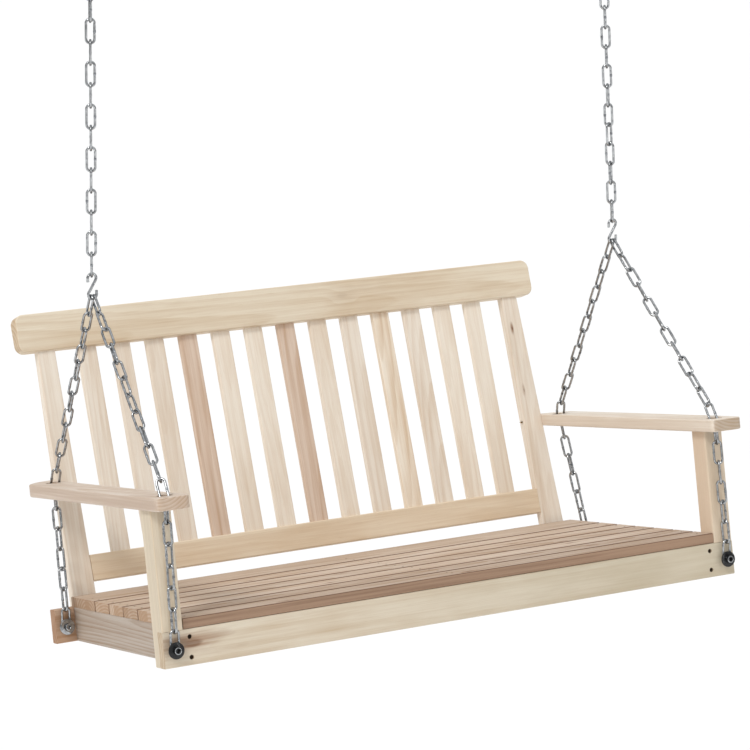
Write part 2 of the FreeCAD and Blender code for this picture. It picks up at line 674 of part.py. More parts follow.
def dowels():
    """Dowels in the hidden joints of the armrests, the back's bottom rail and the middle rail."""
    dowel = cylinder("dowel_pattern", D("dowel_radius"), D("dowel_length"))
    doc.recompute()
    post_x = dim("apron_length") / 2 - dim("post_width") / 2
    # a dowel is blind in the armrest, so it stands lower than midway
    arm_z = dim("arm_underside") + dim("arm_dowel_rise") - dim("dowel_length")
    rail_x = dim("stile_inner_edge") - dim("dowel_length") / 2 + dim("rail_dowel_shift")
    low, height = dim("bottom_rail_bottom"), dim("bottom_rail_height")
    edge = dim("rail_dowel_edge")
    arm_places, rail_places, middle_places = [], [], []
    for side_name, side in SIDES.items():
        for place in ("front", "rear"):
            start = V(side * post_x, dim("arm_dowel_" + place), arm_z)
            arm_places.append(dowelled("arm_dowel_%s_%s" % (side_name, place), in_bench, start, V(0, 0, 1),
                                       ["arm_post_" + side_name, "armrest_" + side_name]))
        for place, up in (("low", low + edge), ("high", low + height - edge)):
            start = V(side * rail_x, dim("bottom_rail_thickness") / 2, up)
            rail_places.append(dowelled("rail_dowel_%s_%s" % (side_name, place), on_back, start,
                                        V(side, 0, 0), ["back_bottom_rail", "back_stile_" + side_name]))
    depth = dim("middle_dowel_depth")
    for near, y, direction in (("front_apron", dim("rail_thickness") - depth, V(0, 1, 0)),
                               ("rear_rail", dim("rear_rail_front") + depth, V(0, -1, 0))):
        start = V(0, y, dim("rail_height") / 2)
        middle_places.append(dowelled("middle_dowel_" + near, in_bench, start, direction,
                                      [near, "seat_middle_rail"]))
    copies("armrest_dowels", dowel, arm_places)
    copies("back_rail_dowels", dowel, rail_places)
    copies("middle_rail_dowels", dowel, middle_places)


def dowelled(label, layout, start, direction, names):
    """Hole for a dowel through the named pieces, in the bench or on the back; the dowel's place."""
    tool = doc.addObject("Part::Cylinder", label + "_hole")
    bind(tool, Radius=clear("dowel_radius"), Height="%s + %s" % (D("dowel_length"), D("overrun")))
    inset = start - direction * (OVERRUN / 2)
    tool.Placement = layout(inset.x, inset.y, inset.z, towards(direction))
    cut_away(names, tool)
    return layout(start.x, start.y, start.z, towards(direction))


def armrest_fixings():
    """Long screws from the outer edge of each armrest through the stile; their points stand out."""
    label = "armrest_screw"
    shank = cylinder(label + "_shank", D("arm_screw_radius"), D("arm_screw_length"))
    head = cylinder(label + "_head", D("arm_screw_head_radius"), D("screw_head_height"),
                    -dim("screw_head_height"))
    point = doc.addObject("Part::Cone", label + "_point")
    bind(point, Radius1=D("arm_screw_radius"), Height="2 * " + D("arm_screw_radius"))
    point.Radius2 = 0.0
    point.Placement = Placement(V(0, 0, dim("arm_screw_length")), Rotation())
    screw = fuse(label + "_pattern", [shank, head, point])
    z = dim("arm_underside") + dim("arm_thickness") / 2
    slope = math.tan(math.radians(dim("back_lean")))
    y = dim("back_foot") + slope * z + dim("stile_thickness") / 2
    # the big round corner of the armrest has brought its outer edge in by this much at y
    radius = dim("arm_back_corner")
    into = max(0.0, y - (dim("arm_back") - radius))
    edge = dim("arm_outer_edge") - (radius - math.sqrt(radius ** 2 - into ** 2))
    places = []
    for side_name, side in SIDES.items():
        direction = V(-side, 0, 0)
        armrest, stile = "armrest_" + side_name, "back_stile_" + side_name
        start = V(side * (edge - dim("screw_head_height") - dim("screw_recess")), y, z)
        bore("%s_hole_%s" % (label, side_name), [armrest, stile], start, direction,
             clear("arm_screw_radius"), "%s + 3 * %s" % (D("arm_screw_length"), D("arm_screw_radius")))
        bore("%s_recess_%s" % (label, side_name), [armrest], start, -direction,
             clear("arm_screw_head_radius"), D("arm_back_corner"))
        places.append(in_bench(start.x, start.y, start.z, towards(direction)))
    copies("armrest_screws", screw, places)


# ------------------------------------------------------------------------------------------------
# Chains and hooks
# ------------------------------------------------------------------------------------------------


def link_pattern():
    """One chain link, long along z and wide along x, centred on the origin."""
    bend = "(%s - %s) / 2" % (D("link_width"), D("wire_diameter"))
    side = value(bend)
    straight = "%s + %s + %s - 2 * %s" % (D("chain_pitch"), D("link_gap"), D("wire_diameter"), bend)
    length = value(straight)
    pieces = []
    for sign in (-1, 1):
        bar = cylinder("link_bar_%d" % (sign + 2), D("wire_diameter") + " / 2", straight)
        bar.Placement = Placement(V(sign * side, 0, -length / 2), Rotation())
        arc = doc.addObject("Part::Torus", "link_end_%d" % (sign + 2))
        bind(arc, Radius1=bend, Radius2=D("wire_diameter") + " / 2")
        arc.Angle3 = 180
        flip = Rotation(V(1, 0, 0), V(0, 0, sign), V(0, -sign, 0), "XYZ")
        arc.Placement = Placement(V(0, 0, sign * length / 2), flip)
        pieces += [bar, arc]
    return fuse("link_pattern", pieces)


def link_places(start, end, count, rolls):
    """Placements of links end to end; a roll of 0 lies flat across x."""
    direction = (end - start) * (1.0 / (end - start).Length)
    wide = (V(1, 0, 0) - direction * direction.x).normalize()
    upright_frame = Rotation(wide, direction.cross(wide), direction, "XYZ")
    places = []
    for i in range(count):
        centre = start + direction * (PITCH * (i + 0.5))
        places.append(Placement(centre, upright_frame.multiply(Rotation(V(0, 0, 1), rolls[i]))))
    return places


def chains(link):
    """Upper chains from the ceiling hooks, and four legs from the bolts to the S-hooks."""
    count = int(dim("upper_links"))
    joints = {}
    for side_name, side in SIDES.items():
        hook = V(side * dim("ceiling_spacing") / 2, 0, -dim("hook_drop"))
        low = V(side * dim("s_hook_spacing") / 2, 0, s_hook_top_z)
        down = (low - hook).normalize()
        start = hook - down * (dim("hook_wire") / 2)
        end = low + down * (dim("s_hook_wire") / 2)
        rolls = [90 * (i + 1) + twist(UPPER_TWIST[side_name], i) for i in range(count)]
        places = link_places(start, end, count, rolls)
        copies("top_link_" + side_name, link, places[:1])
        copies("upper_chain_" + side_name, link, places[1:])
        wire_end = (PITCH + dim("link_gap") + WIRE) / 2
        joints["sway_" + side_name] = places[0].Base + down * wire_end
        joints["level_" + side_name] = places[-1].Base + down * wire_end
    for (place, side_name), (low, joint, hole, bend, top) in LEGS.items():
        total = 2 + LINKS_BELOW_ARM + LINKS_ABOVE_ARM
        rolls = [90 * n + twist(LEG_TWIST[place, side_name], n) for n in range(1, total + 1)]
        places = link_places(low, joint, 1, rolls)
        places += link_places(joint, hole, LINKS_BELOW_ARM, rolls[1:])
        places += link_places(hole, bend, 1, rolls[1 + LINKS_BELOW_ARM:])
        places += link_places(bend, top, LINKS_ABOVE_ARM, rolls[2 + LINKS_BELOW_ARM:])
        copies("%s_leg_%s" % (place, side_name), link, [BENCH.multiply(p) for p in places])
    return joints


def twist(table, number):
    """Twist of a chain's link, worked out between the numbered links of its table."""
    for (first, low), (last, high) in zip(table, table[1:]):
        if first <= number <= last:
            return low + (high - low) * (number - first) / (last - first)


def wire(edges, radius, start, direction):
    """Round wire swept along edges that join smoothly."""
    profile = Part.Wire([Part.makeCircle(radius, start, direction)])
    return Part.Wire(edges).makePipeShell([profile], True, True)


def s_hooks():
    """S-hooks in the x-z plane: the upper bend hangs in the chain, the lower bend carries two legs."""
    r = dim("s_hook_radius")
    reach = dim("s_hook_reach")
    spread = reach - 2 * r
    tip = dim("s_hook_tip")
    angle = math.asin(2 * r / spread)
    for side_name, side in SIDES.items():
        middle = V(side * dim("s_hook_spacing") / 2, 0, (s_hook_top_z + s_hook_low_z) / 2)

        def point(x, z):
            return middle + V(x, 0, z)

        upper_tangent = (r * math.cos(angle), spread / 2 - r * math.sin(angle))
        edges = [
            Part.LineSegment(point(-r, spread / 2 - tip), point(-r, spread / 2)).toShape(),
            Part.Arc(point(-r, spread / 2), point(0, spread / 2 + r), point(*upper_tangent)).toShape(),
            Part.LineSegment(point(*upper_tangent), point(-upper_tangent[0], -upper_tangent[1])).toShape(),
            Part.Arc(point(-upper_tangent[0], -upper_tangent[1]), point(0, -spread / 2 - r),
                     point(r, -spread / 2)).toShape(),
            Part.LineSegment(point(r, -spread / 2), point(r, -spread / 2 + tip)).toShape(),
        ]
        name = "s_hook_" + side_name
        feature = doc.addObject("Part::Feature", name)
        feature.Shape = wire(edges, dim("s_hook_wire") / 2, point(-r, spread / 2 - tip), V(0, 0, 1))
        NODES[name] = feature


def ceiling_hooks():
    """Screw hooks in the x-z plane: a round bowl below a neck, and a plain shank above the ceiling."""
    r, neck, radius = dim("hook_radius"), dim("hook_neck"), dim("hook_wire") / 2
    bowl_z = -dim("hook_drop") + r
    neck_z = bowl_z + r + neck
    mouth = math.radians(dim("hook_mouth"))
    collar_depth = dim("hook_collar_thickness")
    diagonal = neck * math.sqrt(0.5)
    for side_name, side in SIDES.items():
        x0 = side * dim("ceiling_spacing") / 2

        def point(x, z):
            return V(x0 + side * x, 0, z)

        edges = [
            Part.LineSegment(point(neck, 0), point(neck, neck_z)).toShape(),
            Part.Arc(point(neck, neck_z), point(diagonal, neck_z - diagonal),
                     point(0, neck_z - neck)).toShape(),
            Part.Arc(point(0, bowl_z + r), point(-r, bowl_z), point(0, bowl_z - r)).toShape(),
            Part.Arc(point(0, bowl_z - r), point(r * math.cos(mouth / 2), bowl_z - r * math.sin(mouth / 2)),
                     point(r * math.cos(mouth), bowl_z + r * math.sin(mouth))).toShape(),
        ]
        bowl = wire(edges, radius, point(neck, 0), V(0, 0, -1))
        up = V(0, 0, 1)
        collar = Part.makeCylinder(dim("hook_collar"), collar_depth, point(neck, -collar_depth), up)
        shank = Part.makeCylinder(radius, dim("hook_screw"), point(neck, 0), up)
        tip = Part.makeCone(radius, dim("hook_point_radius"), dim("hook_point"),
                            point(neck, dim("hook_screw")), up)
        name = "ceiling_hook_" + side_name
        feature = doc.addObject("Part::Feature", name)
        feature.Shape = bowl.fuse([collar, shank, tip]).removeSplitter()
        NODES[name] = feature


# ------------------------------------------------------------------------------------------------
# Build
# ------------------------------------------------------------------------------------------------

seat_frame()
arm_posts()
seat_slats()
armrests()
back_panel()
hardware()
joint_points = chains(link_pattern())
s_hooks()
ceiling_hooks()

# the stile's outer edge is let into the armrest where the two meet
for side_name in SIDES:
    cut_away(["armrest_" + side_name], NODES["back_stile_" + side_name])

for name, tools in CUTTERS.items():
    group = doc.addObject("Part::Compound", name + "_cutters")
    group.Links = tools
    finished = doc.addObject("Part::Cut", name + "_finished")
    finished.Base = NODES[name]
    finished.Tool = group
    NODES[name] = finished

doc.recompute()

for name, node in NODES.items():
    node.Label = name

for thing in doc.Objects:
    if "Invalid" in thing.State or "Error" in thing.State:
        raise RuntimeError("%s did not compute: %s" % (thing.Name, thing.State))
for name, node in NODES.items():
    if node.Shape.isNull() or not node.Shape.isValid() or node.Shape.Volume <= 0:
        raise RuntimeError("%s has no valid shape" % name)

for name, node in NODES.items():
    node.Shape.exportStep("parts/%s.step" % name)

print("nodes", len(NODES))
for name, place in joint_points.items():
    print(name, [round(c, 3) for c in place])
print("swing", [0, 0, -dim("hook_drop")], "pitch", [0, 0, round(s_hook_low_z, 3)])
print("s-hook in bench", [round(c, 2) for c in S_HOOK_IN_BENCH["right"]])
print("bench placement", BENCH)
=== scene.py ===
"""Porch swing seat: the looks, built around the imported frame.

The wooden boards, the dowels, the chain links and the S-hooks keep their CAD meshes and get
procedural materials. Every fastener and both ceiling hooks are replaced by detailed meshes in the
same places, and each chain link gets the weld bead of its closed side. All positions come from the
CAD nodes.
"""

import math
import random

import bpy
import numpy as np
from mathutils import Matrix, Vector


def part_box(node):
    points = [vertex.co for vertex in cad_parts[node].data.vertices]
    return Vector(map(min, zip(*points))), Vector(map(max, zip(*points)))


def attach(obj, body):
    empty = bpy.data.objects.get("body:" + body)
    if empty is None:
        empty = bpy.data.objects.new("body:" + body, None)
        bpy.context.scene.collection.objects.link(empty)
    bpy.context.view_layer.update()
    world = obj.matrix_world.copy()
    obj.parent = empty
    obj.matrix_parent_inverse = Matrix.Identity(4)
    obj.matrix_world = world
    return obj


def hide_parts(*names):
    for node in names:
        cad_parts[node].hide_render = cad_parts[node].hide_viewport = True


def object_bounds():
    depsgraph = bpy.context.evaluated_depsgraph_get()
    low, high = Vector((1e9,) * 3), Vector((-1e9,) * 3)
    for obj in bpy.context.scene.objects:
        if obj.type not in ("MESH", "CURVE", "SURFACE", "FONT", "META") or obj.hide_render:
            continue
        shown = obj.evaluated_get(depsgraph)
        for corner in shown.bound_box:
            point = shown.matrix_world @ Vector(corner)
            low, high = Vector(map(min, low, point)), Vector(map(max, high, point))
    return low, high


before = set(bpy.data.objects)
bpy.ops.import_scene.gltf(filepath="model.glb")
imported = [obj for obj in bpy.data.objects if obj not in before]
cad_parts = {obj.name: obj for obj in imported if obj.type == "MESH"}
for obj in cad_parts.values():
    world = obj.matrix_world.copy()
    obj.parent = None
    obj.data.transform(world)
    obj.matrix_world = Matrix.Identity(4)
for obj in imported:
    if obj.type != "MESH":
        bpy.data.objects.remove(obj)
cad_low, cad_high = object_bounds()

MM = 0.001

# ------------------------------------------------------------------------------------------------
# Attitude of the bench and of its back
# ------------------------------------------------------------------------------------------------

BENCH_TILT = math.radians(9.55)
BACK_LEAN = math.radians(10.33)


def tipped(angle):
    """Directions across, back and up, tipped back by the angle."""
    return (Vector((1, 0, 0)), Vector((0, math.cos(angle), -math.sin(angle))),
            Vector((0, math.sin(angle), math.cos(angle))))


ACROSS, BACKWARD, UPWARD = tipped(BENCH_TILT)
BACK_NORMAL, BACK_SLOPE = tipped(BENCH_TILT + BACK_LEAN)[1:]

# ------------------------------------------------------------------------------------------------
# Camera
# ------------------------------------------------------------------------------------------------

SENSOR = 36.0
LENS = 145.6
CAMERA_DISTANCE = 5.5
CAMERA_AIM = Vector((-0.0964, -0.2240, -0.8118))
CAMERA_AZIMUTH = math.radians(-27.3)
CAMERA_ELEVATION = math.radians(11.7)
CAMERA_ROLL = math.radians(-1.2)


def make_camera():
    """Long lens a little above the seat, to the left of its front."""
    data = bpy.data.cameras.new("camera")
    data.lens = LENS
    data.sensor_width = SENSOR
    data.clip_end = 100.0
    camera = bpy.data.objects.new("camera", data)
    flat = math.cos(CAMERA_ELEVATION)
    away = Vector((math.sin(CAMERA_AZIMUTH) * flat, -math.cos(CAMERA_AZIMUTH) * flat,
                   math.sin(CAMERA_ELEVATION)))
    camera.location = CAMERA_AIM + away * CAMERA_DISTANCE
    look = (-away).to_track_quat("-Z", "Y").to_matrix()
    camera.rotation_euler = (look @ Matrix.Rotation(CAMERA_ROLL, 3, "Z")).to_euler()
    bpy.context.scene.collection.objects.link(camera)
    bpy.context.scene.camera = camera


make_camera()

# ------------------------------------------------------------------------------------------------
# Shader helpers
# ------------------------------------------------------------------------------------------------


def srgb(red, green, blue):
    """Linear colour of an sRGB colour given from 0 to 255."""
    def linear(value):
        share = value / 255
        return share / 12.92 if share <= 0.04045 else ((share + 0.055) / 1.055) ** 2.4
    return (linear(red), linear(green), linear(blue), 1.0)


class Shader:
    """A material with a Principled shader, and short calls that add nodes to it."""

    def __init__(self, name):
        self.material = bpy.data.materials.new(name)
        self.material.use_nodes = True
        self.tree = self.material.node_tree
        self.tree.nodes.clear()
        self.surface = self.node("ShaderNodeBsdfPrincipled")
        output = self.node("ShaderNodeOutputMaterial")
        self.tree.links.new(self.surface.outputs[0], output.inputs[0])
        self.coordinates = self.node("ShaderNodeTexCoord")

    def node(self, kind, **settings):
        made = self.tree.nodes.new(kind)
        for name, value in settings.items():
            setattr(made, name, value)
        return made

    def feed(self, socket, value):
        """Link an output to the socket, or set the socket to a plain value."""
        if isinstance(value, bpy.types.NodeSocket):
            self.tree.links.new(value, socket)
        else:
            socket.default_value = value

    def maths(self, operation, first, second=0.0, clamp=False):
        made = self.node("ShaderNodeMath", operation=operation, use_clamp=clamp)
        self.feed(made.inputs[0], first)
        self.feed(made.inputs[1], second)
        return made.outputs[0]

    def vector(self, operation, first, second=(0, 0, 0)):
        made = self.node("ShaderNodeVectorMath", operation=operation)
        self.feed(made.inputs[0], first)
        self.feed(made.inputs[1], second)
        return made.outputs["Value" if operation in ("LENGTH", "DOT_PRODUCT") else "Vector"]

    def spread(self, value, low, high, to_low=0.0, to_high=1.0):
        """The value, mapped smoothly from low..high to to_low..to_high."""
        made = self.node("ShaderNodeMapRange", interpolation_type="SMOOTHSTEP")
        for socket, setting in zip(made.inputs[:5], (value, low, high, to_low, to_high)):
            self.feed(socket, setting)
        return made.outputs[0]

    def noise(self, place, scale=1.0, detail=2.0, roughness=0.5):
        made = self.node("ShaderNodeTexNoise")
        self.feed(made.inputs["Vector"], place)
        made.inputs["Scale"].default_value = scale
        made.inputs["Detail"].default_value = detail
        made.inputs["Roughness"].default_value = roughness
        return made.outputs[0]

    def mix(self, share, first, second, blend="MIX"):
        made = self.node("ShaderNodeMix", data_type="RGBA", blend_type=blend)
        self.feed(made.inputs["Factor"], share)
        self.feed(made.inputs[6], first)
        self.feed(made.inputs[7], second)
        return made.outputs[2]

    def bump(self, height, strength, distance):
        made = self.node("ShaderNodeBump")
        self.feed(made.inputs["Height"], height)
        made.inputs["Strength"].default_value = strength
        made.inputs["Distance"].default_value = distance
        self.feed(self.surface.inputs["Normal"], made.outputs[0])


# ------------------------------------------------------------------------------------------------
# Wood
# ------------------------------------------------------------------------------------------------

KNOT = srgb(112, 74, 48)
BROWN = srgb(150, 112, 84)
WHITE = (1.0, 1.0, 1.0, 1.0)
# How each shade of a board departs from its main colour
LATE_WOOD = (0.78, 0.68, 0.59)
END_WOOD = (0.84, 0.78, 0.72)
# Painted shade: tint of the dark band along the seat slats' long edges, standing in for the shadow
# at their rounded arrises and in the gaps between slats
PAINTED_RIM_SHADE = (0.26, 0.17, 0.12)
FAR_GREY = (0.66, 0.68, 0.64)
# Width of the glued-up strips that a board's end shows, as strips per metre
STRIPS = 48.0


def tinted(colour, by):
    return tuple(c * b for c, b in zip(colour, by + (1.0,)))


def towards(colour, other, share):
    return tuple(c + (o - c) * share for c, o in zip(colour, other))


def log_space(shader, node, grain, across):
    """Board coordinates in metres from the board's centre.

    x runs along the grain, y across the face and z through the thickness.
    """
    low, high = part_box(node)
    through = grain.cross(across)
    turn = Matrix((grain, across, through))
    centre = (low + high) / 2
    mapping = shader.node("ShaderNodeMapping")
    mapping.inputs["Location"].default_value = -(turn @ centre)
    mapping.inputs["Rotation"].default_value = turn.to_euler("XYZ")
    shader.feed(mapping.inputs["Vector"], shader.coordinates.outputs["Object"])
    return mapping.outputs[0]


def stretched(shader, place, along, across, seed):
    """Coordinates scaled unevenly, so that a noise made from them runs along the grain."""
    scaled = shader.vector("MULTIPLY", place, (along, across, across))
    return shader.vector("ADD", scaled, (seed, seed * 0.37, seed * 0.71))


def pine(node, grain, across, tint, seed, ring=0.006, pith=(0.015, -0.06), slope=0.02, knots=(),
         figure=0.2, blocks=0.0, rim=None, edge=None, aged=0.0, end=END_WOOD):
    """Bare planed softwood, cut from a log whose growth rings run the length of the board.

    ring is the width of a year's growth, pith the log's middle beside the board, slope how fast the
    board runs out of the log, and knots a list of (along, across, size, darkness). figure is how
    strongly the rings show, blocks how much the glued-up pieces differ at the ends, rim the half
    width of a board whose long edges get a dark band of painted shade, standing in for the shadow
    at its rounded arrises and in the gaps between boards, edge the tint of its two long
    sides, painted shade partly following their streaky grain, aged how much greyer the board's
    far part is tinted, and end the tint of its end grain.
    """
    light, dark = towards(tint, WHITE, 0.12), tinted(tint, LATE_WOOD)
    shader = Shader("wood_" + node)
    place = log_space(shader, node, grain, across)

    wander = shader.noise(stretched(shader, place, 1.6, 7.0, seed), detail=1.0)
    wobble = shader.noise(stretched(shader, place, 9.0, 40.0, seed + 3), detail=2.0)
    halo, core, flame = knot_fields(shader, place, knots, wobble)

    # distance from the pith, which drifts along the board and swells round the knots
    split = shader.node("ShaderNodeSeparateXYZ")
    shader.feed(split.inputs[0], place)
    drift = shader.maths("MULTIPLY", split.outputs[0], slope)
    bent = shader.maths("MULTIPLY", shader.maths("SUBTRACT", wander, 0.5), 0.045)
    beside = shader.maths("ADD", shader.maths("SUBTRACT", split.outputs[1], pith[0]), bent)
    below = shader.maths("ADD", shader.maths("SUBTRACT", split.outputs[2], pith[1]), drift)
    squared = shader.maths("ADD", shader.maths("MULTIPLY", beside, beside),
                           shader.maths("MULTIPLY", below, below))
    radius = shader.maths("SQRT", squared)
    radius = shader.maths("ADD", radius, shader.maths("MULTIPLY", wobble, 0.0022))
    radius = shader.maths("ADD", radius, shader.maths("MULTIPLY", halo, 0.006))
    year = shader.maths("FRACT", shader.maths("DIVIDE", radius, ring))
    rise = shader.spread(year, 0.15, 0.9)
    fall = shader.spread(year, 0.93, 1.0, 1.0, 0.0)
    late = shader.maths("MULTIPLY", rise, fall)

    fibre = shader.noise(stretched(shader, place, 14.0, 900.0, seed + 11), detail=3.0,
                         roughness=0.6)
    streak = shader.noise(stretched(shader, place, 2.2, 120.0, seed + 17), detail=3.0,
                          roughness=0.55)
    cloud = shader.noise(stretched(shader, place, 3.5, 13.0, seed + 23), detail=3.0,
                         roughness=0.55)
    fleck = shader.noise(stretched(shader, place, 45.0, 420.0, seed + 29), detail=2.0)

    tone = shader.maths("MULTIPLY", late, figure)
    tone = shader.maths("ADD", tone, shader.spread(streak, 0.38, 0.68, 0.0, 0.16 + 0.6 * figure))
    tone = shader.maths("ADD", tone, shader.spread(fibre, 0.3, 0.8, -0.06, 0.26))
    tone = shader.maths("ADD", tone, shader.spread(cloud, 0.38, 0.68, -0.06, 0.3), clamp=True)
    colour = shader.mix(tone, light, dark)
    colour = shader.mix(shader.spread(fleck, 0.62, 0.78, 0.0, 0.25), colour, dark)
    browned = shader.maths("MULTIPLY", flame, shader.spread(streak, 0.3, 0.6, 0.35, 0.95))
    colour = shader.mix(browned, colour, BROWN)
    colour = shader.mix(core, colour, KNOT)
    # painted shade: a dark band along the long edges, standing in for the shadow at the rounded
    # arrises and in the gaps between boards
    if rim:
        reach = shader.maths("ABSOLUTE", split.outputs[1])
        rim_shade_reach = shader.maths("ADD", reach, shader.maths("MULTIPLY", wobble, 0.0016))
        colour = shader.mix(shader.spread(rim_shade_reach, rim - 0.0034, rim - 0.0012), colour,
                            tinted(tint, PAINTED_RIM_SHADE))
    # the board's far part is tinted greyer, in blotches
    if aged:
        far = shader.spread(split.outputs[0], -0.35, 0.45, 0.0, aged)
        far = shader.maths("MULTIPLY", far, shader.spread(cloud, 0.3, 0.6, 0.5, 1.0))
        colour = shader.mix(far, colour, tinted(tint, FAR_GREY))
    # painted shade, partly streaky side grain: the two long sides get a darker tint that stands in
    # for the lesser light on them, laid on along the streaks
    if edge:
        facing = shader.vector("DOT_PRODUCT", shader.coordinates.outputs["Normal"], tuple(across))
        side = shader.spread(shader.maths("ABSOLUTE", facing), 0.6, 0.9)
        side = shader.maths("MULTIPLY", side, shader.spread(streak, 0.36, 0.62, 0.55, 1.0))
        colour = shader.mix(side, colour, tinted(tint, edge))

    # the ends show the rings square on, darker and duller
    facing = shader.vector("DOT_PRODUCT", shader.coordinates.outputs["Normal"], tuple(grain))
    butt = shader.spread(shader.maths("ABSOLUTE", facing), 0.55, 0.85)
    piece = shader.node("ShaderNodeTexWhiteNoise", noise_dimensions="1D")
    strip = shader.maths("FLOOR", shader.maths("MULTIPLY_ADD", split.outputs[1], STRIPS))
    shader.feed(piece.inputs["W"], shader.maths("ADD", strip, seed))
    patch = shader.maths("MULTIPLY", piece.outputs[0], blocks)
    end_tone = shader.maths("ADD", shader.maths("MULTIPLY", late, 0.55), patch)
    end_tone = shader.maths("ADD", end_tone, shader.spread(wobble, 0.3, 0.7, 0.05, 0.35),
                            clamp=True)
    end_colour = shader.mix(end_tone, tinted(light, end), tinted(dark, end))
    colour = shader.mix(butt, colour, end_colour)
    shader.feed(shader.surface.inputs["Base Color"], colour)

    dull = shader.spread(shader.maths("ADD", fibre, late), 0.3, 1.6, 0.52, 0.72)
    shader.feed(shader.surface.inputs["Roughness"], dull)
    shader.surface.inputs["Specular IOR Level"].default_value = 0.35
    relief = shader.maths("ADD", shader.maths("MULTIPLY", late, 0.6), fibre)
    relief = shader.maths("ADD", relief, shader.maths("MULTIPLY", core, -0.8))
    shader.bump(relief, 0.35, 0.0004)
    dress(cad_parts[node], shader.material)


def knot_fields(shader, place, knots, wobble):
    """How much each point is swollen, darkened and streaked by the board's knots."""
    halo, core, flame = 0.0, 0.0, 0.0
    ragged = shader.spread(wobble, 0.25, 0.75, 0.55, 1.5)
    for along, across, size, darkness in knots:
        offset = shader.vector("SUBTRACT", place, (along, across, 0.0))
        oval = shader.vector("MULTIPLY", offset, (0.45 / size, 1 / size, 0.0))
        near = shader.maths("MULTIPLY", shader.vector("LENGTH", oval), ragged)
        oval = shader.vector("MULTIPLY", offset, (0.2 / size, 0.7 / size, 0.0))
        far = shader.maths("MULTIPLY", shader.vector("LENGTH", oval), ragged)
        halo = shader.maths("ADD", shader.spread(near, 0.3, 3.2, 1.0, 0.0), halo)
        core = shader.maths("ADD", shader.spread(near, 0.35, 1.0, 0.85 * darkness, 0.0), core,
                            clamp=True)
        flame = shader.maths("ADD", shader.spread(far, 0.3, 1.6, darkness, 0.0), flame,
                             clamp=True)
    return halo, core, flame


def dress(piece, material):
    piece.data.materials.clear()
    piece.data.materials.append(material)


CREAM = srgb(226, 211, 185)
APRON = srgb(214, 200, 176)
HONEY = srgb(228, 208, 178)
PALE = srgb(240, 228, 210)
OAT = srgb(236, 224, 207)
PEACH = srgb(243, 230, 210)
ROSE = srgb(218, 202, 186)
SHELL = srgb(238, 228, 214)
TAUPE = srgb(218, 194, 172)
BUFF = srgb(209, 188, 167)
FAWN = srgb(198, 176, 154)
BISQUE = srgb(222, 204, 178)
UMBER = srgb(188, 165, 143)
GREY = srgb(168, 151, 134)
DRAB = srgb(182, 144, 110)
BEECH = srgb(214, 186, 150)

BACK_SLAT_TINTS = (OAT, OAT, OAT, TAUPE, PALE, PALE, TAUPE, PALE, OAT, PEACH, OAT, PALE, PALE)
SEAT_SLAT_TINTS = (UMBER, UMBER, BUFF, FAWN, BUFF, BUFF, FAWN)
# How strongly the rings show in each slat of the back
BACK_SLAT_FIGURES = (0.2, 0.1, 0.15, 0.35, 0.1, 0.12, 0.35, 0.12, 0.2, 0.4, 0.3, 0.12, 0.12)


def wooden_boards():
    """One wood material for each board, each cut from its own log."""
    luck = random.Random(11)

    def cut(node, grain, across, tint, **more):
        pith = (luck.uniform(-0.03, 0.03), -luck.uniform(0.03, 0.09))
        settings = {"ring": luck.uniform(0.0045, 0.0075), "pith": pith,
                    "slope": luck.uniform(-0.05, 0.05)}
        settings.update(more)
        pine(node, grain, across, tint, luck.uniform(0, 60), **settings)

    cut("front_apron", ACROSS, UPWARD, APRON, figure=0.15, aged=0.5,
        knots=[(-0.533, 0.005, 0.0105, 0.75)])
    cut("rear_rail", ACROSS, UPWARD, DRAB)
    cut("back_top_rail", ACROSS, BACK_SLOPE, CREAM, ring=0.009, knots=[(0.13, 0.006, 0.009, 0.1)])
    cut("back_bottom_rail", ACROSS, BACK_SLOPE, HONEY, figure=0.15)
    for number, tint in enumerate(SEAT_SLAT_TINTS, start=1):
        knots = [(luck.uniform(-0.5, 0.5), luck.uniform(-0.02, 0.02), 0.0035, 0.9)
                 for _ in range(2)]
        low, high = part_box("seat_slat_%d" % number)
        wide = (high.y - low.y) / math.cos(BENCH_TILT) - 0.003
        # painted shade on the slats' long edges and on their sides, which face the gaps between
        # slats
        cut("seat_slat_%d" % number, ACROSS, BACKWARD, tint, knots=knots, figure=0.35, blocks=0.8,
            rim=wide / 2, edge=(0.72, 0.62, 0.56))
    for number, (tint, figure) in enumerate(zip(BACK_SLAT_TINTS, BACK_SLAT_FIGURES), start=1):
        cut("back_slat_%02d" % number, BACK_SLOPE, ACROSS, tint, figure=figure)
    for side in ("left", "right"):
        right = side == "right"
        cut("back_stile_" + side, BACK_SLOPE, ACROSS, OAT,
            knots=[(0.19, -0.013, 0.003, 0.9), (0.06, -0.012, 0.003, 0.4)] if right else [])
        # the posts' and armrests' long sides get a tint of painted shade, partly their streaky side
        # grain
        cut("arm_post_" + side, UPWARD, ACROSS, BISQUE if right else CREAM, figure=0.15,
            edge=(0.97, 0.93, 0.95) if right else (0.82, 0.82, 0.84))
        cut("armrest_" + side, BACKWARD, ACROSS, SHELL if right else ROSE, figure=0.3,
            edge=(0.85, 0.8, 0.76) if right else (0.74, 0.68, 0.64),
            end=(0.62, 0.56, 0.5) if right else END_WOOD)
        cut("side_rail_" + side, BACKWARD, UPWARD, GREY, figure=0.4)
    cut("seat_middle_rail", BACKWARD, UPWARD, BUFF)
    for node, grain in (("armrest_dowels", UPWARD), ("back_rail_dowels", ACROSS),
                        ("middle_rail_dowels", BACKWARD)):
        cut(node, grain, ACROSS if grain != ACROSS else UPWARD, BEECH)


# ------------------------------------------------------------------------------------------------
# Metal
# ------------------------------------------------------------------------------------------------

# Plating looks darker where it turns away
EDGE_TINT = (0.08, 0.085, 0.095, 1.0)


